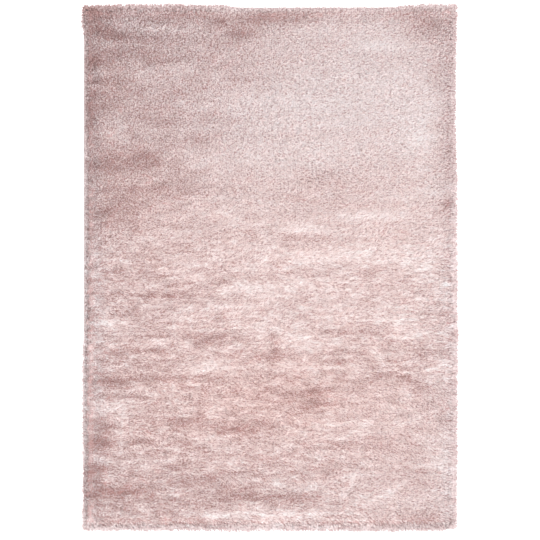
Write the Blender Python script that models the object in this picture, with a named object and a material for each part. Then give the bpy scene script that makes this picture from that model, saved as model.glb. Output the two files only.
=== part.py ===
"""A long-pile rug lying flat, with an overcast binding on each of its four edges.

Metres, +Z up. The rug's length runs along Y, its underside is at Z = 0, and the origin
is under the middle of the pile's outline. Run with blender --background --python part.py
"""

import math
from collections import namedtuple

import bmesh
import bpy

# The woven ground cloth, measured over its bindings
CLOTH_WIDTH = 1.200
CLOTH_LENGTH = 1.690
CLOTH_THICK = 0.0031
GAP = 0.0003  # clear space between neighbouring pieces

# The overcast binding: thread wrapped over the cloth's raw edge, a lip above it and one below
BINDING_WIDE = 0.008
BINDING_HIGH = 0.005
BINDING_LIP = 0.0012
BINDING_BACK = 0.003  # thread outside the cloth's edge
ROUND_POINTS = 6  # points on the binding's rounded outer edge

# The cut pile, as a soft mass that stands on the cloth
PILE_TOP = 0.024
PILE_WIDEST = 0.011  # height at which it reaches furthest out
SHOULDER = 0.026  # how far in from the outline it reaches its full height
LINE_SPACING = 0.037  # between the lines of the pile's top
SHOULDER_LINES = (0.0, 0.002, 0.006, 0.013, 0.026)  # lines near each edge, by distance in

# How far the pile passes the bindings' outer edge, by the share of the way along that side,
# from its left or lower end. Below zero the pile stands back, and the binding shows.
Reach = namedtuple("Reach", "along past")
LEFT_REACH = (
    Reach(0.000, 0.004),
    Reach(0.100, 0.002),
    Reach(0.200, 0.004),
    Reach(0.345, 0.003),
    Reach(0.380, -0.006),
    Reach(0.950, -0.006),
    Reach(0.962, 0.006),
    Reach(1.000, 0.005),
)
RIGHT_REACH = (
    Reach(0.000, 0.013),
    Reach(0.070, 0.010),
    Reach(0.140, 0.013),
    Reach(0.280, 0.013),
    Reach(0.360, 0.016),
    Reach(0.430, 0.013),
    Reach(0.670, 0.013),
    Reach(0.760, 0.007),
    Reach(0.860, 0.007),
    Reach(0.940, 0.010),
    Reach(1.000, 0.013),
)
TOP_REACH = (
    Reach(0.000, 0.003),
    Reach(0.130, 0.0065),
    Reach(0.220, 0.0065),
    Reach(0.375, 0.003),
    Reach(0.415, -0.006),
    Reach(0.810, -0.006),
    Reach(0.860, 0.003),
    Reach(0.925, 0.0095),
    Reach(0.947, 0.006),
    Reach(0.970, 0.0085),
    Reach(1.000, 0.005),
)
BOTTOM_REACH = (
    Reach(0.000, 0.007),
    Reach(0.050, 0.009),
    Reach(0.090, 0.007),
    Reach(0.190, 0.0095),
    Reach(0.270, 0.008),
    Reach(0.425, 0.0105),
    Reach(0.590, 0.008),
    Reach(0.700, 0.0095),
    Reach(0.830, 0.0105),
    Reach(0.960, 0.0085),
    Reach(1.000, 0.0075),
)

# Rounding of the pile's outline at each corner: right is 0 or 1, top is 0 or 1
Corner = namedtuple("Corner", "right top radius")
CORNERS = (
    Corner(0, 0, 0.009),
    Corner(1, 0, 0.024),
    Corner(0, 1, 0.008),
    Corner(1, 1, 0.005),
)

# Where the nap is brushed up into a ridge or parts into a hollow. Each is a soft oval at x, y
# from the cloth's middle, long across the rug and wide along it, and lifts the pile's top.
Swell = namedtuple("Swell", "x y long wide lift")
SWELLS = (
    Swell(-0.110, 0.770, 0.120, 0.045, -0.0022),
    Swell(0.250, 0.640, 0.380, 0.090, 0.0010),
    Swell(-0.430, 0.350, 0.200, 0.040, -0.0020),
    Swell(-0.330, 0.250, 0.160, 0.035, -0.0016),
    Swell(0.390, 0.150, 0.130, 0.055, 0.0018),
    Swell(0.100, 0.135, 0.110, 0.040, 0.0018),
    Swell(0.500, 0.040, 0.130, 0.055, 0.0018),
    Swell(-0.020, -0.055, 0.110, 0.035, 0.0020),
    Swell(-0.480, -0.190, 0.120, 0.040, 0.0020),
    Swell(-0.330, -0.220, 0.170, 0.035, -0.0020),
    Swell(0.018, -0.280, 0.060, 0.080, -0.0022),
    Swell(-0.200, -0.318, 0.110, 0.035, 0.0022),
    Swell(-0.210, -0.395, 0.150, 0.045, -0.0022),
    Swell(0.060, -0.400, 0.240, 0.050, -0.0026),
    Swell(-0.180, -0.465, 0.080, 0.035, 0.0020),
    Swell(-0.480, -0.555, 0.140, 0.040, -0.0024),
    Swell(-0.050, -0.570, 0.240, 0.045, -0.0014),
    Swell(-0.460, -0.722, 0.180, 0.045, -0.0026),
    Swell(-0.060, -0.735, 0.200, 0.040, -0.0022),
    Swell(-0.040, -0.805, 0.230, 0.035, 0.0018),
    Swell(0.240, -0.740, 0.080, 0.075, 0.0016),
)

# Steps down from the pile's widest line and in under it to the flat underside. The offset
# from the bindings' outer edge is the reach's share of the way out from the cloth's clear
# part, and then a fixed distance more.
Step = namedtuple("Step", "share more height")
CLOTH_CLEAR = -(BINDING_WIDE + GAP)
TONGUE = BINDING_WIDE - BINDING_BACK  # cloth held inside a binding, with its gap
STEPS_UNDER = (
    Step(0.90, 0.0, 0.0075),
    Step(0.55, 0.0, BINDING_HIGH + GAP),
    Step(0.0, 0.0, BINDING_HIGH + GAP),
    Step(0.0, 0.0, CLOTH_THICK),
    Step(0.0, TONGUE, CLOTH_THICK),
    Step(0.0, TONGUE, BINDING_LIP + GAP),
    Step(0.0, 0.0, BINDING_LIP + GAP),
    Step(0.0, 0.0, 0.0),
)

PILE_COLOUR = (0.69, 0.53, 0.51, 1.0)
BINDING_COLOUR = (0.62, 0.49, 0.47, 1.0)


def clear_scene():
    for item in list(bpy.data.objects):
        bpy.data.objects.remove(item, do_unlink=True)


def cloth_material(name, colour, roughness):
    material = bpy.data.materials.new(name)
    material.use_nodes = True
    shader = material.node_tree.nodes["Principled BSDF"]
    shader.inputs["Base Color"].default_value = colour
    shader.inputs["Roughness"].default_value = roughness
    shader.inputs["Metallic"].default_value = 0.0
    material.diffuse_color = colour
    return material


def soft_step(share):
    return share * share * (3 - 2 * share)


def reach_at(table, along):
    """How far the pile passes the binding at this share of the way along a side."""
    for before, after in zip(table, table[1:]):
        if along <= after.along:
            share = (along - before.along) / (after.along - before.along)
            return before.past + (after.past - before.past) * soft_step(share)
    return table[-1].past


def offset_at(table, along, step):
    """Distance out from the bindings' outer edge of one step's line."""
    return CLOTH_CLEAR + step.share * (reach_at(table, along) - CLOTH_CLEAR) + step.more


def line_shares(length):
    """Where the pile's lines cross a side of this length: close at its ends, even between."""
    start = SHOULDER_LINES[-1]
    count = math.ceil((length - 2 * start) / LINE_SPACING)
    even = [start + (length - 2 * start) * i / count for i in range(1, count)]
    near = list(SHOULDER_LINES)
    far = [length - distance for distance in reversed(near)]
    return [distance / length for distance in near + even + far]


ACROSS = line_shares(CLOTH_WIDTH)
ALONG = line_shares(CLOTH_LENGTH)


def rounded(x, y, sides):
    """Moves a point near one of the outline's corners in, so that the corner is an arc."""
    left, right, bottom, top = sides
    for corner in CORNERS:
        from_x = right - x if corner.right else x - left
        from_y = top - y if corner.top else y - bottom
        if from_x >= corner.radius or from_y >= corner.radius:
            continue
        out_x = corner.radius - from_x
        out_y = corner.radius - from_y
        shrink = max(out_x, out_y) / math.hypot(out_x, out_y)
        x += out_x * (1 - shrink) * (-1 if corner.right else 1)
        y += out_y * (1 - shrink) * (-1 if corner.top else 1)
    return x, y


def plan_point(column, row, step):
    """Where a crossing of two lines lies in plan, on the outline that this step has."""
    across = ACROSS[column]
    along = ALONG[row]
    left = -CLOTH_WIDTH / 2 - offset_at(LEFT_REACH, along, step)
    right = CLOTH_WIDTH / 2 + offset_at(RIGHT_REACH, along, step)
    bottom = -CLOTH_LENGTH / 2 - offset_at(BOTTOM_REACH, across, step)
    top = CLOTH_LENGTH / 2 + offset_at(TOP_REACH, across, step)
    x = left + (right - left) * across
    y = bottom + (top - bottom) * along
    return rounded(x, y, (left, right, bottom, top)) if step.share > 0 else (x, y)


def pile_height(column, row, x, y):
    """Height of the pile's top: round at the edges, and up or down with each swell."""
    from_side = min(ACROSS[column], 1 - ACROSS[column]) * CLOTH_WIDTH
    from_end = min(ALONG[row], 1 - ALONG[row]) * CLOTH_LENGTH
    inward = min(from_side, from_end, SHOULDER) / SHOULDER
    shoulder = math.sqrt(1 - (1 - inward) ** 2)
    lift = 0.0
    for swell in SWELLS:
        away = math.hypot((x - swell.x) / swell.long, (y - swell.y) / swell.wide)
        lift += swell.lift * math.exp(-away * away)
    return PILE_WIDEST + (PILE_TOP + lift - PILE_WIDEST) * shoulder


def rug_body(material):
    """The ground cloth and its pile in one: a grid for the top, its edge drawn down and under."""
    mesh = bpy.data.meshes.new("pile_rug")
    bm = bmesh.new()
    columns = len(ACROSS) - 1
    rows = len(ALONG) - 1
    bmesh.ops.create_grid(bm, x_segments=columns, y_segments=rows, size=0.5)
    column_of = bm.verts.layers.int.new("column")
    row_of = bm.verts.layers.int.new("row")
    widest = Step(1.0, 0.0, PILE_WIDEST)
    for vert in bm.verts:
        vert[column_of] = round((vert.co.x + 0.5) * columns)
        vert[row_of] = round((vert.co.y + 0.5) * rows)
        x, y = plan_point(vert[column_of], vert[row_of], widest)
        vert.co = (x, y, pile_height(vert[column_of], vert[row_of], x, y))
    edge = [e for e in bm.edges if e.is_boundary]
    for step in STEPS_UNDER:
        made = bmesh.ops.extrude_edge_only(bm, edges=edge)["geom"]
        for vert in (v for v in made if isinstance(v, bmesh.types.BMVert)):
            x, y = plan_point(vert[column_of], vert[row_of], step)
            vert.co = (x, y, step.height)
        edge = [e for e in made if isinstance(e, bmesh.types.BMEdge) and e.is_boundary]
    bmesh.ops.holes_fill(bm, edges=edge, sides=0)
    bmesh.ops.recalc_face_normals(bm, faces=bm.faces)
    bm.to_mesh(mesh)
    bm.free()
    body = bpy.data.objects.new("pile_rug", mesh)
    mesh.materials.append(material)
    mesh.shade_smooth()
    mesh.set_sharp_from_angle(angle=math.radians(50))
    return body


def binding_profile():
    """The binding across its length: X is out from the rug, 0 at the outer edge, and Y is up."""
    half = BINDING_HIGH / 2
    points = [(-BINDING_WIDE, 0.0)]
    for i in range(ROUND_POINTS + 1):
        turn = math.pi * i / ROUND_POINTS - math.pi / 2
        points.append((half * math.cos(turn) - half, half * math.sin(turn) + half))
    slot_top = CLOTH_THICK + GAP
    points.append((-BINDING_WIDE, BINDING_HIGH))
    points.append((-BINDING_WIDE, slot_top))
    points.append((-BINDING_BACK, slot_top))
    points.append((-BINDING_BACK, BINDING_LIP))
    points.append((-BINDING_WIDE, BINDING_LIP))
    return points


def binding(name, length, turn, reach, material):
    """One edge's binding: its profile drawn out to its length, then turned to face out."""
    curve = bpy.data.curves.new(name, "CURVE")
    curve.dimensions = "2D"
    curve.fill_mode = "BOTH"
    curve.extrude = length / 2
    spline = curve.splines.new("POLY")
    points = binding_profile()
    spline.points.add(len(points) - 1)
    for point, (x, y) in zip(spline.points, points):
        point.co = (x, y, 0.0, 1.0)
    spline.use_cyclic_u = True
    curve.materials.append(material)
    edge = bpy.data.objects.new(name, curve)
    edge.rotation_euler = (math.radians(90), 0.0, turn)
    edge.location = (reach * math.cos(turn), reach * math.sin(turn), 0.0)
    return edge


def build():
    clear_scene()
    collection = bpy.data.collections.new("shaggy_rug")
    bpy.context.scene.collection.children.link(collection)
    pile = cloth_material("dusty_pink_pile", PILE_COLOUR, 0.9)
    thread = cloth_material("overcast_thread", BINDING_COLOUR, 0.75)

    body = rug_body(pile)
    across = CLOTH_WIDTH - 2 * (BINDING_WIDE + GAP)
    quarter = math.pi / 2
    pieces = [
        body,
        binding("binding_right", CLOTH_LENGTH, 0.0, CLOTH_WIDTH / 2, thread),
        binding("binding_top", across, quarter, CLOTH_LENGTH / 2, thread),
        binding("binding_left", CLOTH_LENGTH, 2 * quarter, CLOTH_WIDTH / 2, thread),
        binding("binding_bottom", across, 3 * quarter, CLOTH_LENGTH / 2, thread),
    ]

    # The cloth's middle moves so that the origin is under the middle of the pile's outline
    middle = bpy.data.objects.new("cloth_middle", None)
    spread = [[vert.co[axis] for vert in body.data.vertices] for axis in (0, 1)]
    middle.location = [-(min(values) + max(values)) / 2 for values in spread] + [0.0]
    collection.objects.link(middle)
    for piece in pieces:
        piece.parent = middle
        collection.objects.link(piece)


build()
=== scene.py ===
import math
from collections import namedtuple

import bpy
import numpy as np
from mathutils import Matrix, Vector
from mathutils.bvhtree import BVHTree


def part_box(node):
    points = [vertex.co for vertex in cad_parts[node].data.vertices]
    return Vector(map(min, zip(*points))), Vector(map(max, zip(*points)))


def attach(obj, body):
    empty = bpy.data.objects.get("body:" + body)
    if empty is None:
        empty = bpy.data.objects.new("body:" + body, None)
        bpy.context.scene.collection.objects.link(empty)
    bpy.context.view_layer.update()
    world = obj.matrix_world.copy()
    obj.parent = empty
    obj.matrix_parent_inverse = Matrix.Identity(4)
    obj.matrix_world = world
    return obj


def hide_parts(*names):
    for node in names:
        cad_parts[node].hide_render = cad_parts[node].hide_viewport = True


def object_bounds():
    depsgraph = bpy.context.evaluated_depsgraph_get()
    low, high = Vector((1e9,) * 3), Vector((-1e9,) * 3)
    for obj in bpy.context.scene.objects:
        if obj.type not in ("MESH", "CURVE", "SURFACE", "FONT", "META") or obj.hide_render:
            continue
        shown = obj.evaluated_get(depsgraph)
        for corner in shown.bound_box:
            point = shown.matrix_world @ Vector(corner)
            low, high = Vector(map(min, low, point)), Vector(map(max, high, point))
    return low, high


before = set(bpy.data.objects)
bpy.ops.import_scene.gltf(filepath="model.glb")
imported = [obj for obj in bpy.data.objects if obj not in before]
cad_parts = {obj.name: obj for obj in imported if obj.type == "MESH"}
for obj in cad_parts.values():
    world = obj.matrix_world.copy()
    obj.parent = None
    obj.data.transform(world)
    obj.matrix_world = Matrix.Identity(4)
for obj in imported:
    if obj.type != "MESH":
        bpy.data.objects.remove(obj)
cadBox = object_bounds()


def linear(hexColour):
    channels = [int(hexColour[i:i + 2], 16) / 255 for i in (1, 3, 5)]
    return [c / 12.92 if c <= 0.04045 else ((c + 0.055) / 1.055) ** 2.4 for c in channels] + [1.0]


def addNode(tree, kind, settings=(), links=()):
    node = tree.nodes.new(kind)
    for name, value in dict(settings).items():
        if isinstance(name, int) or name in node.inputs:
            node.inputs[name].default_value = value
        else:
            setattr(node, name, value)
    for name, source in dict(links).items():
        tree.links.new(source, node.inputs[name])
    return node


def newMaterial(name):
    material = bpy.data.materials.new(name)
    material.use_nodes = True
    return material, material.node_tree, material.node_tree.nodes["Principled BSDF"]


def waveScale(spacing):  # a wave texture has 20 / 2 pi bands a metre for each unit of its scale
    return math.pi / (10 * spacing)


def deselectAll():
    if bpy.context.mode != "OBJECT":
        bpy.ops.object.mode_set(mode="OBJECT")
    bpy.ops.object.select_all(action="DESELECT")


def editAll():
    bpy.ops.object.mode_set(mode="EDIT")
    bpy.ops.mesh.select_all(action="SELECT")


def faceOutwards():
    bpy.ops.mesh.select_all(action="SELECT")
    bpy.ops.mesh.normals_make_consistent(inside=False)


def pointsOf(mesh):
    return np.array([v.co[:] for v in mesh.vertices])


def softStep(low, high, value):  # fades from 0 at low to 1 at high
    share = np.clip((value - low) / (high - low), 0.0, 1.0)
    return share * share * (3 - 2 * share)


def softNoise(x, y, field):  # a smooth random field from -1 to 1, with a field's length, width and seed
    lattice = np.random.default_rng(field.seed).uniform(-1.0, 1.0, (512, 512))
    across = x / field.long + 256
    along = y / field.wide + 256
    column = np.floor(across).astype(int)
    row = np.floor(along).astype(int)
    shareX = softStep(0, 1, across - column)
    shareY = softStep(0, 1, along - row)
    low = lattice[row, column] * (1 - shareX) + lattice[row, column + 1] * shareX
    high = lattice[row + 1, column] * (1 - shareX) + lattice[row + 1, column + 1] * shareX
    return low * (1 - shareY) + high * shareY


# Outline of the cloth and of the pile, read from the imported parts
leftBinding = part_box("binding_left")
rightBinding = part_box("binding_right")
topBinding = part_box("binding_top")
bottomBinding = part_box("binding_bottom")
clothLeft = leftBinding[0].x
clothRight = rightBinding[1].x
clothBottom = bottomBinding[0].y
clothTop = topBinding[1].y
clothMiddle = ((clothLeft + clothRight) / 2, (clothBottom + clothTop) / 2)
bindingWide = leftBinding[1].x - leftBinding[0].x
bindingHigh = leftBinding[1].z

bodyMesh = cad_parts["pile_rug"].data
bodyPoints = pointsOf(bodyMesh)
bodyFaces = [tuple(p.vertices) for p in bodyMesh.polygons]
bodyTree = BVHTree.FromPolygons(bodyPoints.tolist(), bodyFaces)
widestHeight = 0.011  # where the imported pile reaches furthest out
rim = bodyPoints[np.abs(bodyPoints[:, 2] - widestHeight) < 0.0004]
rimInside = 0.009  # the rim stays this near the cloth's edge where a binding shows
rimOutside = 0.002  # and on the right it passes the edge by more than this


def rimLine(side, axis):  # one side of the pile's outline, as places along it and how far out
    rows = rim[side]
    order = np.argsort(rows[:, axis])
    return rows[order, axis], rows[order, 1 - axis]


leftRim = rimLine(rim[:, 0] < clothLeft + rimInside, 1)
rightRim = rimLine(rim[:, 0] > clothRight + rimOutside, 1)
bottomRim = rimLine(rim[:, 1] < clothBottom + rimInside, 0)
topRim = rimLine(rim[:, 1] > clothTop - rimInside, 0)


def rimAt(line, along):
    return np.interp(along, line[0], line[1])


def topAt(x, y):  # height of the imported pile's top
    heights = np.empty(len(x))
    for i in range(len(x)):
        hit = bodyTree.ray_cast(Vector((x[i], y[i], 0.1)), Vector((0, 0, -1)))
        heights[i] = hit[0].z if hit[0] else widestHeight
    return heights


# Camera, light and floor of the studio. The rug lies on the floor and the camera looks straight down.
studio = {
    "lens": 100.0,  # millimetres, long, so that the rug's sides stay parallel
    "viewWidth": 1.755,  # metres of floor across the picture
    "viewMiddle": (0.0016, -0.0081),
    "floorSize": 60.0,
    "floorDrop": 0.0004,
    "floorHex": "#f4f4f4",
    "skyStrength": 2.2,
    "sunStrength": 0.6,
    "sunSpread": 40.0,  # degrees, as wide as a large softbox
    "sunHeight": 52.0,
    "sunTurn": 8.0,  # degrees from +Y towards +X
}


def setCamera():
    deselectAll()
    bpy.ops.object.camera_add(location=(0, 0, 0), rotation=(0, 0, 0))
    camera = bpy.context.object
    camera.name = "camera"
    camera.data.lens = studio["lens"]
    away = studio["viewWidth"] * studio["lens"] / camera.data.sensor_width
    camera.location = (*studio["viewMiddle"], away + widestHeight)
    camera.data.clip_end = 100.0
    bpy.context.scene.camera = camera


def setLight():
    sun = bpy.data.lights.new("softbox", "SUN")
    sun.energy = studio["sunStrength"]
    sun.angle = math.radians(studio["sunSpread"])
    lamp = bpy.data.objects.new("softbox", sun)
    lamp.rotation_euler = (
        -math.radians(90 - studio["sunHeight"]), 0.0, -math.radians(studio["sunTurn"]))
    bpy.context.collection.objects.link(lamp)
    world = bpy.data.worlds.new("studio")
    world.use_nodes = True
    sky = world.node_tree.nodes["Background"]
    sky.inputs["Color"].default_value = (1.0, 1.0, 1.0, 1.0)
    sky.inputs["Strength"].default_value = studio["skyStrength"]
    bpy.context.scene.world = world
    bpy.context.scene.view_settings.view_transform = "Standard"


# White floor paint, rolled on: quite matt
def paintedFloor():
    material, _, shader = newMaterial("paintedFloor")
    shader.inputs["Base Color"].default_value = linear(studio["floorHex"])
    shader.inputs["Roughness"].default_value = 0.9
    return material


def setFloor():
    deselectAll()
    bpy.ops.mesh.primitive_plane_add(size=studio["floorSize"], location=(0, 0, -studio["floorDrop"]))
    floor = bpy.context.object
    floor.name = "floor"
    floor.data.materials.append(paintedFloor())


# The pile, shared by its bands. Tints run from 0 dark to 1 pale, and hold painted light and shade beside the
# yarn's own tone.
pile = {
    "pitch": 0.0084,  # metres between tufts
    "wander": 0.25,  # of the pitch, how far a tuft strays from its place
    "clear": 0.0012,  # between the tufts and the bindings
    "edgeRow": 0.012,  # in from the bindings, where the tufts are twice as many, and more at a corner
    "strandsPerTuft": 7,
    "tuftSpread": 0.0034,
    "bands": 5,
    "seed": 11,

    "rootHeight": 0.0022,
    "uprightLean": 14.0,  # degrees from upright where the nap stands
    "laidLean": 42.0,  # and where it is brushed flat
    "leanSpread": 8.0,
    "leanLimits": (0.05, 1.1),  # radians
    "shortest": 0.012,  # a strand leans out as if it were at least this long
    "napSpread": 0.08,
    "way": (-6.0, 12.0),  # degrees from +X in which it is brushed, at the foot and further up
    "sharpTurn": 20.0,  # a patch turned further than this turns the nap's way with it
    "tuftTurn": (6.0, 20.0),  # degrees off the nap's way, where it is combed and where unruly
    "strandTurn": (14.0, 64.0),
    "tipSpread": 0.0014,
    "tipDrop": 0.0025,  # how much lower the tips lie where the nap is brushed flat
    "tipLowest": 0.0065,

    "strandHalfWidth": 0.0010,  # wider than the real yarn, so that each strand shows
    "widthSpread": 0.25,
    "edgeWider": 1.0,  # how much thicker the strands grow along the edges
    "bendAlong": 0.50,  # of the run, where a strand turns over
    "bendFurther": 0.36,  # and how much further along it does at the edges
    "bendUp": 0.84,  # of the height
    "bendLeast": 0.9,  # of the height at its root, for a strand whose tip falls away
    "curl": 0.0012,
    "twist": 0.5,  # how far its flat side turns from the sky

    "spillFrom": 0.030,  # in from the cloth's edge, where the strands start to lean out over it
    "spillFull": 0.012,
    "overRim": 0.0078,  # how far the drawn-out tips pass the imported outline
    "leftShy": 0.0038,  # and how much less on the left, where the binding shows
    "spillSpread": 0.0014,
    "fuzz": 0.0006,  # how ragged the outline is

    "tint": 0.517,
    # painted highlight where the nap lies flat and painted shade where it stands
    "napLightAndShade": 0.23,
    "byTuft": 0.01,
    "byStrand": 0.015,
    "uprightGapShade": 0.05,  # painted shade of the gaps between strands, more where the nap stands and its gaps show
    "leftEdgeShade": -0.05,  # painted shade on the sides of the pile, set for each side by how the light falls there; the floor lights them too
    "rightEdgeShade": -0.20,
    "bottomEdgeShade": -0.17,
    "topEdgeShade": -0.15,
    "warmthSpread": 0.2,
    "upStrand": (0.0, 0.8, 1.0),  # how high its root, bend and tip are for the shading of its depth

    "strokeLong": 0.042,  # strokes of the brush where the pile is brushed flat, painted as highlight and shade
    "strokeWide": 0.011,
    "strokeShade": -0.105,
    "strokeHighlight": 0.115,
    "endLong": 0.0070,  # a tuft of cut yarn ends, painted pale in its middle and with painted shade at its rim
    "endWide": 0.0052,
    "rimPale": 0.22,  # how much of that shade is left where the pile is pale
    "rimBrushed": 0.60,  # and where it is brushed flat, since the tufts close over their gaps
}

# Where the nap stands up and looks dark, or lies flat and looks pale: the strands lean by it, and the tint
# paints its shade and highlight. Each is a soft oval at x, y, long across the rug and wide along it, turned
# by some degrees.
Patch = namedtuple("Patch", "x y long wide lay turn", defaults=(0,))
patches = (
    Patch(-0.58, 0.83, 0.035, 0.018, -1.2),
    Patch(-0.56, 0.775, 0.1, 0.08, -0.5),
    Patch(-0.5, 0.752, 0.08, 0.014, -0.6),
    Patch(-0.385, 0.744, 0.075, 0.012, -0.5),
    Patch(-0.305, 0.775, 0.11, 0.016, 0.45),
    Patch(-0.16, 0.793, 0.025, 0.013, -0.9),
    Patch(-0.085, 0.757, 0.055, 0.018, -1),
    Patch(-0.045, 0.81, 0.08, 0.02, -0.55),
    Patch(-0.565, 0.67, 0.035, 0.02, -1),
    Patch(-0.323, 0.67, 0.06, 0.01, -0.7),
    Patch(-0.425, 0.64, 0.045, 0.025, 0.4),
    Patch(-0.53, 0.604, 0.07, 0.01, -0.6),
    Patch(-0.09, 0.61, 0.08, 0.008, -0.5),
    Patch(-0.58, 0.5, 0.02, 0.1, -0.6),
    Patch(-0.45, 0.337, 0.13, 0.035, -0.7),
    Patch(-0.34, 0.252, 0.13, 0.023, -0.4),
    Patch(-0.518, 0.171, 0.1, 0.05, -0.45),
    Patch(0.08, 0.81, 0.1, 0.022, -0.55),
    Patch(0.52, 0.79, 0.07, 0.05, -0.6),
    Patch(0.36, 0.72, 0.1, 0.022, 0.45),
    Patch(0.58, 0.45, 0.045, 0.25, -0.5),
    Patch(0.487, 0.435, 0.05, 0.06, 0.4),
    Patch(0.17, 0.285, 0.07, 0.022, -0.4),
    Patch(-0.06, 0.14, 0.09, 0.02, 0.35),
    Patch(-0.173, 0.045, 0.055, 0.017, 0.5),
    Patch(-0.355, -0.088, 0.13, 0.009, -0.75),
    Patch(-0.09, -0.07, 0.1, 0.012, 0.7, 5),
    Patch(-0.465, -0.145, 0.07, 0.014, -0.6, 8),
    Patch(-0.51, -0.185, 0.065, 0.022, 0.65),
    Patch(-0.385, -0.22, 0.055, 0.011, -0.6, 5),
    Patch(-0.22, -0.23, 0.085, 0.016, -0.55),
    Patch(-0.45, -0.272, 0.085, 0.01, -0.75, 5),
    Patch(-0.215, -0.322, 0.075, 0.018, 0.9, 10),
    Patch(-0.475, -0.366, 0.11, 0.014, -0.9),
    Patch(-0.28, -0.361, 0.06, 0.008, -0.7),
    Patch(0.008, -0.265, 0.022, 0.05, -0.7),
    Patch(0.575, 0.2, 0.022, 0.03, -0.7),
    Patch(0.19, 0.213, 0.2, 0.02, -0.3),
    Patch(0.33, 0.164, 0.1, 0.013, 0.65),
    Patch(0.1, 0.123, 0.06, 0.015, 0.75),
    Patch(0.077, 0.092, 0.09, 0.01, -0.45),
    Patch(0.21, 0.04, 0.14, 0.02, 0.45),
    Patch(0.47, 0.03, 0.09, 0.03, 0.5),
    Patch(0.3, -0.018, 0.06, 0.014, -0.45),
    Patch(0.08, -0.015, 0.1, 0.012, -0.35),
    Patch(0.41, -0.182, 0.11, 0.01, 0.7, -8),
    Patch(0.27, -0.213, 0.11, 0.014, -0.5),
    Patch(0.57, -0.25, 0.03, 0.025, -0.8),
    Patch(0.49, -0.277, 0.035, 0.012, -0.6),
    Patch(0.174, -0.325, 0.11, 0.009, 0.65),
    Patch(0.39, -0.352, 0.055, 0.012, -0.8),
    Patch(-0.475, -0.417, 0.11, 0.006, -0.7),
    Patch(-0.13, -0.417, 0.12, 0.006, -0.6),
    Patch(-0.53, -0.466, 0.055, 0.014, 0.5),
    Patch(-0.275, -0.5, 0.075, 0.01, -0.6),
    Patch(-0.11, -0.528, 0.045, 0.01, -0.6),
    Patch(-0.553, -0.565, 0.035, 0.025, -0.8),
    Patch(-0.427, -0.565, 0.09, 0.006, -0.7),
    Patch(-0.525, -0.628, 0.07, 0.016, 0.5),
    Patch(-0.57, -0.658, 0.022, 0.03, -0.5),
    Patch(-0.435, -0.69, 0.12, 0.005, 0.5),
    Patch(-0.49, -0.727, 0.11, 0.012, -0.95),
    Patch(-0.05, -0.743, 0.075, 0.015, -0.65),
    Patch(-0.155, -0.8, 0.13, 0.014, 0.7),
    Patch(0.24, -0.41, 0.17, 0.004, 0.5),
    Patch(0.14, -0.4, 0.03, 0.014, -0.6),
    Patch(0.26, -0.574, 0.06, 0.007, -0.6),
    Patch(0.27, -0.695, 0.025, 0.008, 0.6, 65),
    Patch(0.235, -0.758, 0.028, 0.01, 0.7, 65),
    Patch(0.257, -0.75, 0.02, 0.005, -0.5, 65),
    Patch(0.283, -0.762, 0.022, 0.006, 0.5, 65),
    Patch(0.383, -0.728, 0.08, 0.009, 0.7, 28),
    Patch(0.51, -0.808, 0.07, 0.02, -0.5),
    Patch(0.563, -0.621, 0.035, 0.04, 0.45),
    Patch(0.067, -0.745, 0.09, 0.014, -0.6),
    Patch(0.062, -0.802, 0.08, 0.013, 0.5),
    # Wide, gentle ones, which level larger areas
    Patch(-0.02, -0.185, 0.36, 0.05, 0.22),
    Patch(0.0, -0.05, 0.33, 0.15, 0.14),
    Patch(-0.22, 0.0, 0.18, 0.06, 0.15),
    Patch(-0.4, -0.775, 0.2, 0.05, -0.26),
    Patch(-0.47, -0.45, 0.1, 0.03, 0.3),
    Patch(0.12, -0.455, 0.06, 0.035, -0.35),
    Patch(0.55, 0.63, 0.06, 0.05, -0.3),
    Patch(-0.15, -0.05, 0.05, 0.045, -0.35),
    Patch(-0.05, -0.535, 0.06, 0.045, -0.42),
    Patch(-0.11, -0.73, 0.09, 0.045, -0.25),
    Patch(0.15, -0.437, 0.05, 0.045, -0.32),
    Patch(0.0, -0.63, 0.08, 0.045, -0.15),
    Patch(0.12, -0.242, 0.13, 0.045, 0.22),
    Patch(-0.55, 0.49, 0.05, 0.09, -0.15),
    Patch(-0.32, 0.345, 0.09, 0.045, 0.12),
    Patch(-0.5, -0.437, 0.12, 0.045, 0.2),
    Patch(-0.5, -0.145, 0.08, 0.045, 0.18),
    Patch(-0.52, 0.73, 0.08, 0.045, 0.15),
    Patch(0.55, 0.83, 0.06, 0.04, 0.45),
    Patch(-0.2, 0.148, 0.1, 0.045, 0.15),
    Patch(-0.05, -0.242, 0.6, 0.04, 0.1),
    Patch(-0.3, -0.72, 0.35, 0.06, -0.13),
    Patch(-0.575, -0.73, 0.03, 0.09, -0.3),
    Patch(-0.05, -0.34, 0.05, 0.045, -0.18),
    Patch(-0.13, -0.145, 0.05, 0.045, 0.15),
    Patch(0.16, 0.34, 0.05, 0.045, 0.15),
    Patch(-0.27, 0.635, 0.05, 0.045, 0.15),
    Patch(0.55, -0.12, 0.06, 0.14, -0.2),
    Patch(-0.13, 0.838, 0.22, 0.024, 0.42),
    Patch(-0.22, -0.78, 0.15, 0.045, -0.16),
)

# Broad areas where the nap stands or lies flat. Each fades in across the rug and, unless it
# holds from one end to the other, along it.
Area = namedtuple("Area", "lay fromX toX fromY toY", defaults=(-2, -1))
areas = (
    Area(-0.16, -0.08, -0.62, 0.0, 0.6),  # upper left
    Area(-0.11, -0.46, -0.58),  # left side
    Area(0.30, -0.35, 0.0),  # right half
    Area(-0.20, -0.35, 0.0, 0.05, -0.25),  # less in its lower part
    Area(-0.15, 0.15, -0.10, 0.36, 0.60),  # upper left and middle
    Area(-0.42, 0.22, 0.0, 0.70, 0.80),  # top end of the left half
    Area(0.42, -0.25, -0.45, 0.70, 0.80),  # but not its corner
    Area(-0.35, 0.0, 0.22, 0.70, 0.84),  # top end of the right half
)

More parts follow.
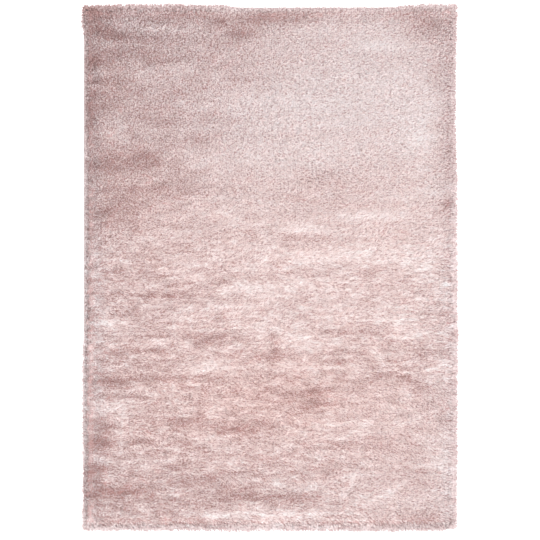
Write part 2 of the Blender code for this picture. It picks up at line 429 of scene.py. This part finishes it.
# Waves of the nap that no patch names: size across and along, strength in three parts of the rug
Wave = namedtuple("Wave", "long wide upperLeft upperRight lower seed")
waves = (
    Wave(0.800, 0.024, 0.17, 0.17, 0.02, 3),
    Wave(0.300, 0.070, 0.10, 0.12, 0.08, 4),
    Wave(0.100, 0.016, 0.10, 0.05, 0.18, 5),
    Wave(0.060, 0.010, 0.14, 0.06, 0.22, 6),
    Wave(0.055, 0.020, 0.16, 0.05, 0.12, 7),
    Wave(0.026, 0.009, 0.26, 0.06, 0.14, 9),
)

# Other random fields of the nap: strength, and size across and along
Field = namedtuple("Field", "strength long wide seed")
frayAcross = Field(0.012, 0.06, 0.03, 23)  # metres that a patch's edge frays
frayAlong = Field(0.004, 0.045, 0.05, 24)
driftBroad = Field(0.022, 0.40, 0.30, 21)  # metres that the waves wander up and down
driftFine = Field(0.006, 0.05, 0.06, 22)
streak = Field(0.30, 0.055, 0.013, 25)  # combed streaks in the lower half
wisp = Field(0.72, 0.055, 0.014, 26)  # thin wisps where the pile is brushed, lying flatter, with painted highlight
wispy = Field(1.0, 0.10, 0.05, 27)  # where there are wisps
swirl = Field(30.0, 0.11, 0.05, 31)  # degrees that the nap's way turns


def crest(field, sharpness):  # thin raised lines where a soft field passes through zero
    return (1 - np.abs(field)) ** sharpness


def patchWeight(patch, x, y):
    turn = math.radians(patch.turn)
    across = (x - patch.x) * math.cos(turn) + (y - patch.y) * math.sin(turn)
    along = (y - patch.y) * math.cos(turn) - (x - patch.x) * math.sin(turn)
    return np.exp(-(across / patch.long) ** 2 - (along / patch.wide) ** 2)


def brushedAt(x, y):  # how far brushing has drawn the pile into fine streaks, from 0 to 1
    return softStep(0.40, -0.10, y) * (1 - 0.6 * softStep(0.15, 0.45, x) * softStep(-0.30, -0.50, y))


def driftAt(x, y):  # y along the waves, which climb to the right in the middle and fall at the foot
    slope = 0.10 * softStep(-0.45, 0.0, y) * softStep(0.60, 0.20, y) - 0.07 * softStep(-0.10, -0.55, y)
    broad = driftBroad.strength * softNoise(x, y, driftBroad)
    return y - slope * x + broad + driftFine.strength * softNoise(x, y, driftFine)


def napAt(x, y):  # how flat the nap lies: about -1 upright to 1 flat
    nap = np.zeros(len(x))
    for area in areas:
        nap += area.lay * softStep(area.fromX, area.toX, x) * softStep(area.fromY, area.toY, y)
    frayX = x + frayAcross.strength * softNoise(x, y, frayAcross)
    frayY = y + frayAlong.strength * softNoise(x, y, frayAlong)
    for patch in patches:
        nap += patch.lay * patchWeight(patch, frayX, frayY)

    lower = softStep(0.20, -0.25, y)
    drift = driftAt(x, y)
    for wave in waves:
        upper = wave.upperLeft + (wave.upperRight - wave.upperLeft) * softStep(-0.30, 0.05, x)
        strength = upper + (wave.lower - upper) * lower
        nap += strength * softNoise(x, drift, wave)
    streaks = crest(softNoise(x, drift, streak), 2.5) - 0.40
    some = softStep(-0.45, 0.35, wispy.strength * softNoise(x, y, wispy))
    wisps = some * crest(softNoise(x, drift, wisp), 6.0) - 0.10
    return nap + streak.strength * lower * streaks + wisp.strength * brushedAt(x, y) * wisps


plainWarmth = 0.25
rosiest = Patch(0.0, -0.42, 0.30, 0.14, 0.5)


def warmthAt(x, y):  # less than plain is greyer, and more is rosier, as the lower half is at its middle
    rosier = 0.5 * softStep(0.55, 0.05, y) * (1 - 0.4 * softStep(-0.55, -0.75, y))
    rosier = rosier + rosiest.lay * patchWeight(rosiest, x, y)
    rosier = rosier * (0.35 + 0.65 * softStep(0.62, 0.38, np.abs(x)))
    side = softStep(-0.53, -0.57, x) + 0.5 * softStep(0.53, 0.57, x)
    corner = softStep(0.60, 0.80, y) * softStep(-0.10, -0.50, x)
    return plainWarmth + 0.70 * rosier - 0.25 * np.maximum(side, corner)


def heading(x, y):  # which way the nap is brushed, in degrees from +X
    atFoot, further = pile["way"]
    way = atFoot + (further - atFoot) * softStep(-0.36, -0.20, y) + swirl.strength * softNoise(x, y, swirl)
    for patch in patches:
        if patch.turn > pile["sharpTurn"]:
            way = way + patch.turn * patchWeight(patch, x, y)
    return way


# Polyester shag yarn, heat-set and cut: pale and a little silky on the flank, rosy in its depth, where shade
# is painted darker towards the root
def shagYarn():
    material, tree, shader = newMaterial("polyesterShagYarn")
    tintAndPaintedLight, brushed, along, warmth = (
        addNode(tree, "ShaderNodeAttribute", {"attribute_name": name}).outputs["Fac"]
        for name in ("tint", "brushed", "along", "warmth"))
    place = addNode(tree, "ShaderNodeTexCoord").outputs["Object"]
    strokes, tufts = (
        addNode(tree, "ShaderNodeMapping", {"Scale": (1 / long, 1 / wide, 1)}, {"Vector": place})
        for long, wide in ((pile["strokeLong"], pile["strokeWide"]), (pile["endLong"], pile["endWide"])))

    # The yarn's own colour, with painted highlight and shade in strokes where it is brushed
    field = addNode(
        tree, "ShaderNodeTexNoise",
        {"noise_dimensions": "2D", "Scale": 1.0, "Detail": 1.5, "Roughness": 0.55, "Distortion": 0.5},
        {"Vector": strokes.outputs["Vector"]})
    stroke = addNode(
        tree, "ShaderNodeMapRange",
        {"From Min": 0.40, "From Max": 0.68, "To Min": pile["strokeShade"], "To Max": pile["strokeHighlight"]},
        {"Value": field.outputs["Fac"]})
    tint = addNode(
        tree, "ShaderNodeMath", {"operation": "MULTIPLY_ADD"},
        {0: stroke.outputs["Result"], 1: brushed, 2: tintAndPaintedLight}).outputs[0]
    ramp = addNode(tree, "ShaderNodeValToRGB", {}, {"Fac": tint})
    stops = ramp.color_ramp.elements
    stops[0].color = linear("#b28e8a")
    stops[1].color = linear("#f0f0f0")
    for position, colour in ((0.5, "#dccccb"), (0.75, "#e7e1e1")):
        stops.new(position).color = linear(colour)
    cast = addNode(tree, "ShaderNodeValToRGB", {}, {"Fac": warmth})
    casts = cast.color_ramp.elements
    casts[0].color = linear("#f4f9fb")
    casts[1].color = linear("#fff3ef")
    casts.new(plainWarmth).color = linear("#ffffff")
    warm = addNode(
        tree, "ShaderNodeMix", {"data_type": "RGBA", "blend_type": "MULTIPLY", 0: 1.0},
        {6: ramp.outputs["Color"], 7: cast.outputs["Color"]})

    # Cut ends, with painted shade at their rims, between the tufts, that shows less where the pile is pale
    # or brushed flat
    ends = addNode(
        tree, "ShaderNodeTexVoronoi", {"voronoi_dimensions": "2D", "Scale": 1.0, "Randomness": 0.8},
        {"Vector": tufts.outputs["Vector"]})
    gapShade = addNode(
        tree, "ShaderNodeMapRange", {"From Min": 0.25, "From Max": 0.60},
        {"Value": ends.outputs["Distance"]})
    byPale = addNode(
        tree, "ShaderNodeMapRange",
        {"From Min": 0.25, "From Max": 0.75, "To Min": 1.0, "To Max": pile["rimPale"]}, {"Value": tint})
    byBrushed = addNode(
        tree, "ShaderNodeMapRange", {"To Min": 1.0, "To Max": pile["rimBrushed"]}, {"Value": brushed})
    showing = addNode(
        tree, "ShaderNodeMath", {"operation": "MULTIPLY"},
        {0: gapShade.outputs["Result"], 1: byBrushed.outputs["Result"]})
    shade = addNode(
        tree, "ShaderNodeMath", {"operation": "MULTIPLY"},
        {0: showing.outputs[0], 1: byPale.outputs["Result"]})
    # the painted shade between tufts, multiplied into the colour
    end = addNode(
        tree, "ShaderNodeMix", {"data_type": "RGBA", "blend_type": "MULTIPLY", 7: linear("#d0c2c1")},
        {0: shade.outputs[0], 6: warm.outputs[2]})

    # Painted shade of the pile's depth, darker towards the root
    depth = addNode(
        tree, "ShaderNodeMapRange", {"From Min": 0.9, "From Max": 0.0}, {"Value": along})
    depthShade = addNode(
        tree, "ShaderNodeMath", {"operation": "MULTIPLY"},
        {0: depth.outputs["Result"], 1: byPale.outputs["Result"]})
    depthShaded = addNode(
        tree, "ShaderNodeMix", {"data_type": "RGBA", "blend_type": "MULTIPLY", 7: linear("#eae3e2")},
        {0: depthShade.outputs[0], 6: end.outputs[2]})
    tree.links.new(depthShaded.outputs[2], shader.inputs["Base Color"])
    shader.inputs["Roughness"].default_value = 0.62
    shader.inputs["Specular IOR Level"].default_value = 0.35
    shader.inputs["Sheen Weight"].default_value = 0.25
    shader.inputs["Sheen Roughness"].default_value = 0.45
    shader.inputs["Sheen Tint"].default_value = linear("#fff4f2")
    return material


def strandModel():  # one cut strand: its root at 0, its flat bend at 1, 1 to each side, its tip at 2
    deselectAll()
    bpy.ops.mesh.primitive_cone_add(
        vertices=3, radius1=1.0, radius2=0.0, depth=1.0, end_fill_type="NGON")
    strand = bpy.context.object
    for vert, place in zip(strand.data.vertices, ((0, 0, 0), (-1, 0, 1), (1, 0, 1), (0, 0, 2))):
        vert.co = place
    editAll()
    bpy.ops.uv.lightmap_pack(PREF_CONTEXT="ALL_FACES", PREF_MARGIN_DIV=0.6)
    bpy.ops.object.mode_set(mode="OBJECT")
    points = pointsOf(strand.data)
    faces = np.array([p.vertices[:] for p in strand.data.polygons])
    corners = np.array([spot.vector[:] for spot in strand.data.uv_layers.active.uv])
    bpy.data.objects.remove(strand, do_unlink=True)
    return points, faces, corners


def tuftPlaces(rng):
    pitch = pile["pitch"]
    columns = int((cadBox[1].x - cadBox[0].x) / pitch) + 1
    rows = int((cadBox[1].y - cadBox[0].y) / pitch) + 1
    column, row = np.meshgrid(np.arange(columns), np.arange(rows))
    x = cadBox[0].x + (column.ravel() + 0.5 * (row.ravel() % 2)) * pitch
    y = cadBox[0].y + row.ravel() * pitch
    x = x + rng.uniform(-1, 1, len(x)) * pile["wander"] * pitch
    y = y + rng.uniform(-1, 1, len(y)) * pile["wander"] * pitch
    inside = bindingWide + pile["clear"]
    keep = (x > clothLeft + inside) & (x < clothRight - inside)
    keep &= (y > clothBottom + inside) & (y < clothTop - inside)
    x, y = x[keep], y[keep]
    awayX = np.minimum(x - clothLeft, clothRight - x)
    awayY = np.minimum(y - clothBottom, clothTop - y)
    edge = bindingWide + pile["edgeRow"]
    times = 1 + (np.minimum(awayX, awayY) < edge) + 4 * (np.maximum(awayX, awayY) < edge)
    return np.repeat(x, times), np.repeat(y, times)


def plantStrands(rng):  # each strand's root, how flat its nap lies, its way and its tuft's tint
    x, y = tuftPlaces(rng)
    each = pile["strandsPerTuft"]
    count = len(x) * each
    unruly = softStep(0.05, 0.40, y) * (0.3 + 0.7 * softStep(0.15, -0.20, x))  # most at the upper left
    nap = np.repeat(napAt(x, y) + pile["napSpread"] * rng.standard_normal(len(x)), each)
    combed, wild = pile["tuftTurn"]
    turn = heading(x, y) + (combed + (wild - combed) * unruly) * rng.standard_normal(len(x))
    combed, wild = pile["strandTurn"]
    spread = combed + (wild - combed) * np.repeat(unruly, each)
    turn = np.radians(np.repeat(turn, each) + spread * rng.standard_normal(count))
    tuftTint = np.repeat(rng.standard_normal(len(x)), each)
    x = np.repeat(x, each) + pile["tuftSpread"] * rng.standard_normal(count)
    y = np.repeat(y, each) + pile["tuftSpread"] * rng.standard_normal(count)
    x = np.clip(x, clothLeft + bindingWide, clothRight - bindingWide)
    y = np.clip(y, clothBottom + bindingWide, clothTop - bindingWide)
    return x, y, nap, turn, tuftTint


def spillOver(x, y, tipX, tipY, rng):  # the outermost tufts lean out over the binding, up to the outline, and take the painted shade of their side
    edges = (
        (x - clothLeft, rimAt(leftRim, y) + pile["leftShy"], tipX, -1.0, pile["leftEdgeShade"]),
        (clothRight - x, rimAt(rightRim, y), tipX, 1.0, pile["rightEdgeShade"]),
        (y - clothBottom, rimAt(bottomRim, x), tipY, -1.0, pile["bottomEdgeShade"]),
        (clothTop - y, rimAt(topRim, x), tipY, 1.0, pile["topEdgeShade"]),
    )
    outermost = np.zeros(len(x))
    edgeShade = np.zeros(len(x))
    for away, rimPlace, tip, out, shadeOfEdge in edges:
        near = softStep(pile["spillFrom"], pile["spillFull"], away)
        # painted shade of the side, strongest on the outermost strands
        edgeShade = np.where(near > outermost, shadeOfEdge * near, edgeShade)
        spill = rimPlace + out * (pile["overRim"] - np.abs(rng.normal(0, pile["spillSpread"], len(x))))
        tip += (spill - tip) * near * np.sqrt(rng.uniform(0.16, 1.0, len(x)))  # most reach far out
        outermost = np.maximum(outermost, near)
    fuzz = pile["fuzz"] * rng.standard_normal(len(x)) + pile["overRim"]
    tipX = np.clip(tipX, rimAt(leftRim, tipY) + pile["leftShy"] - fuzz, rimAt(rightRim, tipY) + fuzz)
    tipY = np.clip(tipY, rimAt(bottomRim, tipX) - fuzz, rimAt(topRim, tipX) + fuzz)
    return tipX, tipY, outermost, edgeShade


def bendStrands(x, y, laid, turn, rng):  # each strand's root, bend and tip, and how far it spills over
    count = len(x)
    lean = pile["uprightLean"] + (pile["laidLean"] - pile["uprightLean"]) * laid
    lean = np.radians(lean + pile["leanSpread"] * rng.standard_normal(count))
    high = topAt(x, y) - pile["rootHeight"]
    run = np.maximum(high, pile["shortest"]) * np.tan(np.clip(lean, *pile["leanLimits"]))
    tipX, tipY = x + run * np.cos(turn), y + run * np.sin(turn)
    tipX, tipY, outermost, edgeShade = spillOver(x, y, tipX, tipY, rng)
    drop = pile["tipSpread"] * np.abs(rng.standard_normal(count)) + pile["tipDrop"] * laid
    tipZ = np.maximum(topAt(tipX, tipY) - drop, pile["tipLowest"])

    root = np.stack([x, y, np.full(count, pile["rootHeight"])], 1)
    tip = np.stack([tipX, tipY, tipZ], 1)
    bend = root + (tip - root) * (pile["bendAlong"] + pile["bendFurther"] * outermost)[:, None]
    curl = pile["curl"] * rng.standard_normal(count)
    bend[:, 0] -= curl * np.sin(turn)
    bend[:, 1] += curl * np.cos(turn)
    bend[:, 2] = root[:, 2] + (np.maximum(tipZ, pile["bendLeast"] * high) - root[:, 2]) * pile["bendUp"]
    return np.stack([root, bend, tip], 1), outermost, edgeShade


def acrossStrands(spine, outermost, rng):  # half of each strand's width, as an arrow across it
    count = len(spine)
    root, tip = spine[:, 0], spine[:, 2]
    flank = np.arctan2(tip[:, 1] - root[:, 1], tip[:, 0] - root[:, 0])
    sideways = np.stack([-np.sin(flank), np.cos(flank), pile["twist"] * rng.standard_normal(count)], 1)
    sideways /= np.linalg.norm(sideways, axis=1)[:, None]
    halfWidth = pile["strandHalfWidth"] * (1 + pile["widthSpread"] * rng.uniform(-1, 1, count))
    halfWidth *= 1 + pile["edgeWider"] * outermost
    return halfWidth[:, None] * sideways


def gapShadeTailed(rng, count):  # random tone, mostly a little pale, now and then much darker as painted shade of a gap
    return 0.6 * rng.standard_normal(count) + 0.8 * (1 - rng.exponential(1.0, count))


def buildPile(yarn):
    rng = np.random.default_rng(pile["seed"])
    x, y, nap, turn, tuftTint = plantStrands(rng)
    laid = softStep(-1.1, 0.9, nap)  # from where the nap stands to where it is brushed flat
    spine, outermost, edgeShade = bendStrands(x, y, laid, turn, rng)
    across = acrossStrands(spine, outermost, rng)

    toneAndGapShade = (pile["byStrand"] + pile["uprightGapShade"] * (1 - laid)) * gapShadeTailed(rng, len(x))
    seen = napAt(spine[:, :, 0].ravel(), spine[:, :, 1].ravel()).reshape(-1, 3)
    # random tone of tufts and strands, with painted shade on the pile's sides and in the gaps between
    # strands
    whole = pile["tint"] + pile["byTuft"] * tuftTint + edgeShade + toneAndGapShade
    # painted highlight and shade of the nap, at each point of the strand
    tint = whole[:, None] + pile["napLightAndShade"] * seen
    warmth = (warmthAt(x, y) + pile["warmthSpread"] * rng.standard_normal(len(x))) * (1 - outermost)
    brushed = brushedAt(x, y)

    model, faces, corners = strandModel()
    level = np.round(model[:, 2]).astype(int)
    points = spine[:, level] + model[None, :, :1] * across[:, None]
    upStrand = np.array(pile["upStrand"])[level]
    place = (y - clothBottom) / (clothTop - clothBottom)
    band = np.clip((place * pile["bands"]).astype(int), 0, pile["bands"] - 1)
    bands = []
    for number in range(pile["bands"]):
        mine = np.flatnonzero(band == number)
        made = joinStrands(f"pile_band_{number + 1}", points[mine], faces, corners)
        storeTints(
            made, tint[mine][:, level].ravel(), np.repeat(warmth[mine], len(level)),
            np.tile(upStrand, len(mine)), np.repeat(brushed[mine], len(level)))
        finishPile(made, yarn)
        bands.append(made)
        print(f"pile band {number + 1}: {len(mine)} strands")
    return bands


def joinStrands(name, points, faces, corners):
    count, size = points.shape[:2]
    allFaces = (faces[None] + size * np.arange(count)[:, None, None]).reshape(-1, 3)
    mesh = bpy.data.meshes.new(name)
    mesh.from_pydata(points.reshape(-1, 3).tolist(), [], allFaces.tolist())
    # Each strand has a small square of its own on the map, so that a baked picture can hold its tint
    across = math.ceil(math.sqrt(count))
    margin = 0.05
    cell = np.stack([np.arange(count) % across, np.arange(count) // across], 1)
    spots = (cell[:, None] + margin + (1 - 2 * margin) * corners[None]) / across
    mesh.uv_layers.new(name="OFBake").uv.foreach_set("vector", spots.reshape(-1).astype(np.float32))
    band = bpy.data.objects.new(name, mesh)
    bpy.context.collection.objects.link(band)
    return band


def storeTints(piece, tint, warmth, along, brushed):
    for name, values in (("tint", tint), ("warmth", warmth), ("along", along), ("brushed", brushed)):
        layer = piece.data.attributes.new(name, "FLOAT", "POINT")
        layer.data.foreach_set("value", np.clip(values, 0, 1))


def finishPile(piece, yarn):
    piece.data.materials.append(yarn)
    piece.data.shade_smooth()
    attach(piece, "root")


# The imported lower part of the pile, which closes the gaps between strands; its low tint is painted shade
# of the pile's depth
pileFoot = {
    "bottom": 0.0021,
    "below": 0.0110,  # under the pile's top
    "cell": 0.013,
    "stray": 0.25,  # of a cell, how far its points stray
    "lump": 0.0022,
    "inside": 0.0027,  # from the bindings
    "lipAbove": 0.0063,  # clear of the bindings, where it rolls over them
    "lipHigh": 0.0090,
    "lipBack": 0.0030,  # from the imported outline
    # lower than the strands' tint: painted shade of the pile's depth
    "tint": 0.30,
    "napLightAndShade": 0.24,
    "lipShade": -0.05,
    "along": 0.1,  # how far up the strands it lies, which shades it
    "alongLip": 0.2,  # and how much further at the lip
    "seed": 41,
}


def footGrid(sizeX, sizeY):  # a grid whose rim is carried down twice, for the lip's underside and the bottom
    deselectAll()
    bpy.ops.mesh.primitive_grid_add(
        x_subdivisions=round(sizeX / pileFoot["cell"]), y_subdivisions=round(sizeY / pileFoot["cell"]),
        size=1.0, location=(*clothMiddle, 0))
    foot = bpy.context.object
    foot.name = "pile_foot"
    foot.scale = (sizeX, sizeY, 1)
    bpy.ops.object.transform_apply(location=True, rotation=True, scale=True)
    editAll()
    bpy.ops.mesh.region_to_loop()
    bpy.ops.mesh.extrude_edges_move(TRANSFORM_OT_translate={"value": (0, 0, -1)})
    bpy.ops.mesh.extrude_edges_move(TRANSFORM_OT_translate={"value": (0, 0, -1)})
    bpy.ops.mesh.edge_face_add()
    bpy.ops.object.mode_set(mode="OBJECT")
    return foot


def buildFoot(yarn):
    inset = bindingWide + pileFoot["inside"]
    sizeX = clothRight - clothLeft - 2 * inset
    sizeY = clothTop - clothBottom - 2 * inset
    foot = footGrid(sizeX, sizeY)
    x, y, level = pointsOf(foot.data).T  # level is 0 on top, -1 under the lip and -2 at the bottom
    top = level > -0.5
    hair = 0.0001
    outX = np.sign(x - clothMiddle[0]) * (np.abs(x - clothMiddle[0]) > sizeX / 2 - hair)
    outY = np.sign(y - clothMiddle[1]) * (np.abs(y - clothMiddle[1]) > sizeY / 2 - hair)
    lip = top & (outX ** 2 + outY ** 2 > 0)
    rng = np.random.default_rng(pileFoot["seed"])
    height = topAt(x, y) - pileFoot["below"] + pileFoot["lump"] * rng.uniform(-1, 1, len(x))
    height = np.where(lip, pileFoot["lipHigh"], np.maximum(height, pileFoot["lipAbove"]))
    height = np.where(top, height, np.where(level > -1.5, pileFoot["lipAbove"], pileFoot["bottom"]))
    stray = pileFoot["stray"] * pileFoot["cell"] * rng.uniform(-1, 1, (len(x), 2)) * (top & ~lip)[:, None]
    back = pileFoot["lipBack"]
    lipX = np.where(outX < 0, rimAt(leftRim, y) + back, np.where(outX > 0, rimAt(rightRim, y) - back, x))
    lipY = np.where(outY < 0, rimAt(bottomRim, x) + back, np.where(outY > 0, rimAt(topRim, x) - back, y))
    x = np.where(lip, lipX, x + stray[:, 0])
    y = np.where(lip, lipY, y + stray[:, 1])
    foot.data.vertices.foreach_set("co", np.stack([x, y, height], 1).ravel())
    # painted shade of the depth and the lip, with the nap's painted light and shade
    tint = pileFoot["tint"] + pileFoot["napLightAndShade"] * napAt(x, y) + pileFoot["lipShade"] * lip
    along = pileFoot["along"] + pileFoot["alongLip"] * lip
    storeTints(foot, tint, warmthAt(x, y), along, brushedAt(x, y))
    bpy.ops.object.mode_set(mode="EDIT")
    faceOutwards()
    bpy.ops.object.mode_set(mode="OBJECT")
    finishPile(foot, yarn)
    return foot


groundCloth = {
    "thickness": 0.0016,
    "tongue": 0.0033,  # its edge, in from the outside of its binding
    "raised": 0.005,  # the border held inside the binding
    "slope": 0.002,
    "lift": 0.0015,
    "threadSpacing": 0.0034,
    "slub": 0.0182,  # metres between thick and thin stretches of a thread
}


# Woven jute backing: dull straw-coloured threads over and under each other, stiffened with latex
def juteBacking():
    material, tree, shader = newMaterial("wovenJuteBacking")
    place = addNode(tree, "ShaderNodeTexCoord").outputs["Object"]
    warp, weft = (
        addNode(
            tree, "ShaderNodeTexWave",
            {"bands_direction": direction, "Scale": waveScale(groundCloth["threadSpacing"]),
             "Distortion": 0.4, "Detail": 1.0, "Detail Scale": 2.0},
            {"Vector": place})
        for direction in ("X", "Y"))
    weave = addNode(
        tree, "ShaderNodeMath", {"operation": "MULTIPLY"}, {0: warp.outputs["Fac"], 1: weft.outputs["Fac"]})
    slub = addNode(
        tree, "ShaderNodeTexNoise", {"Scale": 1 / groundCloth["slub"], "Detail": 4.0}, {"Vector": place})
    height = addNode(
        tree, "ShaderNodeMath", {"operation": "MULTIPLY_ADD", 1: 0.4},
        {0: slub.outputs["Fac"], 2: weave.outputs[0]})
    ramp = addNode(tree, "ShaderNodeValToRGB", {}, {"Fac": height.outputs[0]})
    ramp.color_ramp.elements[0].color = linear("#8f7c62")
    ramp.color_ramp.elements[1].color = linear("#d5c5a8")
    bump = addNode(
        tree, "ShaderNodeBump", {"Strength": 0.8, "Distance": 0.0006}, {"Height": height.outputs[0]})
    tree.links.new(ramp.outputs["Color"], shader.inputs["Base Color"])
    tree.links.new(bump.outputs["Normal"], shader.inputs["Normal"])
    shader.inputs["Roughness"].default_value = 0.9
    shader.inputs["Specular IOR Level"].default_value = 0.25
    return material


def buildCloth(jute):
    deselectAll()
    sizeX = clothRight - clothLeft - 2 * groundCloth["tongue"]
    sizeY = clothTop - clothBottom - 2 * groundCloth["tongue"]
    bpy.ops.mesh.primitive_plane_add(size=1.0, location=(*clothMiddle, 0))
    cloth = bpy.context.object
    cloth.name = "ground_cloth"
    cloth.scale = (sizeX, sizeY, 1)
    bpy.ops.object.transform_apply(location=True, rotation=True, scale=True)
    editAll()
    bpy.ops.mesh.inset(thickness=groundCloth["raised"])
    bpy.ops.mesh.inset(thickness=groundCloth["slope"])
    bpy.ops.object.mode_set(mode="OBJECT")
    border = groundCloth["tongue"] + groundCloth["raised"] + groundCloth["slope"] / 2
    for vert in cloth.data.vertices:
        awayX = min(vert.co.x - clothLeft, clothRight - vert.co.x)
        awayY = min(vert.co.y - clothBottom, clothTop - vert.co.y)
        vert.co.z = groundCloth["lift"] if min(awayX, awayY) < border else 0.0
    thick = cloth.modifiers.new("thickness", "SOLIDIFY")
    thick.thickness = groundCloth["thickness"]
    thick.offset = 1.0
    bpy.ops.object.modifier_apply(modifier="thickness")
    cloth.data.materials.append(jute)
    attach(cloth, "root")
    return cloth, sizeX, sizeY


overcast = {
    "pitch": 0.0036,
    "threadWide": 0.0034,
    "threadThick": 0.0013,
    "slant": 0.0018,  # along the edge, from one end of a turn to the other
    "spinSteps": 4,
    "stray": (0.00018, 0.00015, 0.0),  # in and out, and along the edge
    "seed": 60,
    "twistSpacing": 0.001496,  # metres between the ribs of the thread's twist
    "speckle": 0.00385,  # coarser than its fibres, so that it shows
}


# Spun polyester overcasting thread: matt, paler than the pile, with the fine ribs of its twist
def overcastThread():
    material, tree, shader = newMaterial("spunPolyesterThread")
    place = addNode(tree, "ShaderNodeTexCoord").outputs["Object"]
    twist = addNode(
        tree, "ShaderNodeTexWave",
        {"wave_type": "BANDS", "bands_direction": "DIAGONAL", "Scale": waveScale(overcast["twistSpacing"]),
         "Distortion": 1.5, "Detail": 1.0},
        {"Vector": place})
    speckle = addNode(
        tree, "ShaderNodeTexNoise", {"Scale": 1 / overcast["speckle"], "Detail": 3.0}, {"Vector": place})
    shade = addNode(
        tree, "ShaderNodeMapRange", {"From Min": 0.3, "From Max": 0.7}, {"Value": speckle.outputs["Fac"]})
    colour = addNode(
        tree, "ShaderNodeMix", {"data_type": "RGBA", 6: linear("#978988"), 7: linear("#c0b3b2")},
        {0: shade.outputs["Result"]})
    bump = addNode(
        tree, "ShaderNodeBump", {"Strength": 0.5, "Distance": 0.0004}, {"Height": twist.outputs["Fac"]})
    tree.links.new(colour.outputs[2], shader.inputs["Base Color"])
    tree.links.new(bump.outputs["Normal"], shader.inputs["Normal"])
    shader.inputs["Roughness"].default_value = 0.8
    shader.inputs["Specular IOR Level"].default_value = 0.3
    shader.inputs["Sheen Weight"].default_value = 0.15
    return material


def stitchModel():  # one turn of thread round the edge; +X is out from the rug, and 0 is the outer edge
    deselectAll()
    radius = overcast["threadThick"] / 2
    bend = bindingHigh / 2
    straight = bindingWide - bend
    bpy.ops.mesh.primitive_circle_add(
        vertices=6, radius=radius, fill_type="NGON", location=(-bindingWide, 0, bindingHigh - radius),
        rotation=(0, math.radians(90), 0))
    stitch = bpy.context.object
    stitch.scale = (1, overcast["threadWide"] / overcast["threadThick"], 1)
    bpy.ops.object.transform_apply(location=True, rotation=True, scale=True)
    editAll()
    bpy.ops.mesh.extrude_region_move(TRANSFORM_OT_translate={"value": (straight, 0, 0)})
    bpy.ops.mesh.spin(
        steps=overcast["spinSteps"], angle=math.pi, center=(-bend, 0, bend), axis=(0, -1, 0))
    bpy.ops.mesh.extrude_region_move(TRANSFORM_OT_translate={"value": (-straight, 0, 0)})
    bpy.ops.mesh.select_all(action="SELECT")
    bpy.ops.mesh.remove_doubles(threshold=0.00001)
    faceOutwards()
    bpy.ops.object.mode_set(mode="OBJECT")
    for vert in stitch.data.vertices:
        lean = overcast["slant"] * vert.co.x / bindingWide
        vert.co.y += lean / 2 if vert.co.z > bend else -lean / 2
    return stitch


def buildOvercast(side, turn, thread):  # the row of turns that binds one side
    low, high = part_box("binding_" + side)
    upright = side in ("left", "right")
    length = high.y - low.y if upright else high.x - low.x
    count = round(length / overcast["pitch"])
    row = stitchModel()
    row.name = "overcast_" + side
    size = len(row.data.vertices)
    copies = row.modifiers.new("copies", "ARRAY")
    copies.count = count
    copies.use_relative_offset = False
    copies.use_constant_offset = True
    copies.constant_offset_displace = (0, length / count, 0)
    bpy.ops.object.modifier_apply(modifier="copies")
    rng = np.random.default_rng(overcast["seed"] + turn)
    points = pointsOf(row.data)
    points[:, 1] += (length / count - length) / 2
    points += np.repeat(rng.uniform(-1, 1, (count, 3)) * overcast["stray"], size, axis=0)
    row.data.vertices.foreach_set("co", points.ravel())
    edge = {"left": low.x, "right": high.x, "bottom": low.y, "top": high.y}[side]
    middle = (low + high) / 2
    row.rotation_euler = (0, 0, math.radians(turn))
    row.location = (edge, middle.y, 0) if upright else (middle.x, edge, 0)
    bpy.ops.object.transform_apply(location=True, rotation=True, scale=True)
    row.data.materials.append(thread)
    row.data.shade_smooth()
    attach(row, "root")
    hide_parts("binding_" + side)
    print(f"overcast {side}: {count} turns")


setCamera()
setLight()
setFloor()
print("studio ready")

yarn = shagYarn()
bands = buildPile(yarn)
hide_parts("pile_rug")
foot = buildFoot(yarn)
print("pile ready")
cloth, clothX, clothY = buildCloth(juteBacking())
print("ground cloth ready")
thread = overcastThread()
for side, turn in (("right", 0), ("top", 90), ("left", 180), ("bottom", 270)):
    buildOvercast(side, turn, thread)
